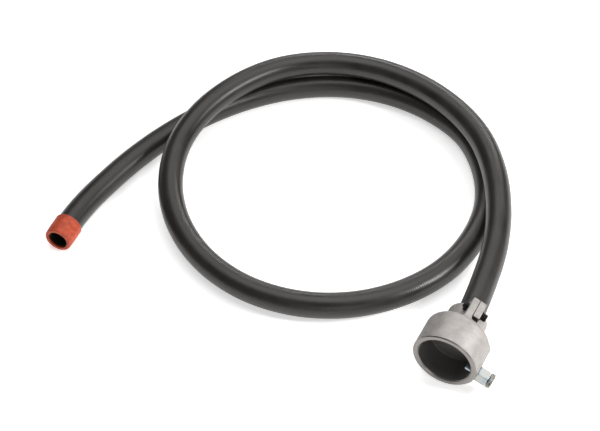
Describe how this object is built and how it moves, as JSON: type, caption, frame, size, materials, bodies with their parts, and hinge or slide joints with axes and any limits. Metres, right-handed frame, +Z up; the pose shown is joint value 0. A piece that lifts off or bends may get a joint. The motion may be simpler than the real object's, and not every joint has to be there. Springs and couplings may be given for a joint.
{
  "type": "suction hose with slip-on cup coupling",
  "caption": "Heavy rubber hose lying in a loose coil, with a clamped cup coupling and spring plunger on one end and a coloured sleeve on the other.",
  "frame": {"origin": "on the ground, under the middle of the coupling's bounding box (coupling body, clamp screw, nut and plunger, without the hose and its sleeve)", "axes": "+Z up from the ground, -Y along the coupling's axis out of the cup's mouth, +X towards the side that the spring plunger points to; the hose coils away on the -X side"},
  "size_m": [0.6425, 0.508, 0.085],
  "materials": {
    "cast_aluminium": "sand cast, with a machined rim and bore",
    "hose_rubber": "wrapped, satin black",
    "orange_sleeve": "dipped vinyl, satin orange-red",
    "black_oxide_steel": "black oxide",
    "zinc_plated_steel": "bright zinc plate over turned steel",
    "spring_steel": "drawn wire and rolled strip, bare"
  },
  "bodies": {
    "coupling": {"coupling_body": "cast_aluminium", "hose_ferrule": "zinc_plated_steel", "clamp_screw": "black_oxide_steel", "clamp_washer": "black_oxide_steel", "clamp_nut": "black_oxide_steel", "plunger_housing": "zinc_plated_steel", "plunger_spring": "spring_steel", "hose": "hose_rubber", "end_sleeve": "orange_sleeve"},
    "plunger": {"plunger_pin": "zinc_plated_steel", "plunger_knob": "zinc_plated_steel", "plunger_roll_pin": "spring_steel"}
  },
  "joints": [
    {"name": "plunger_pull", "type": "slide", "parent": "coupling", "child": "plunger", "axis": [0.9455, 0, -0.3256], "range_m": [0, 0.0088], "stiffness_N_per_m": 1500, "springref_m": -0.005, "deforming": ["plunger_spring"]}
  ]
}
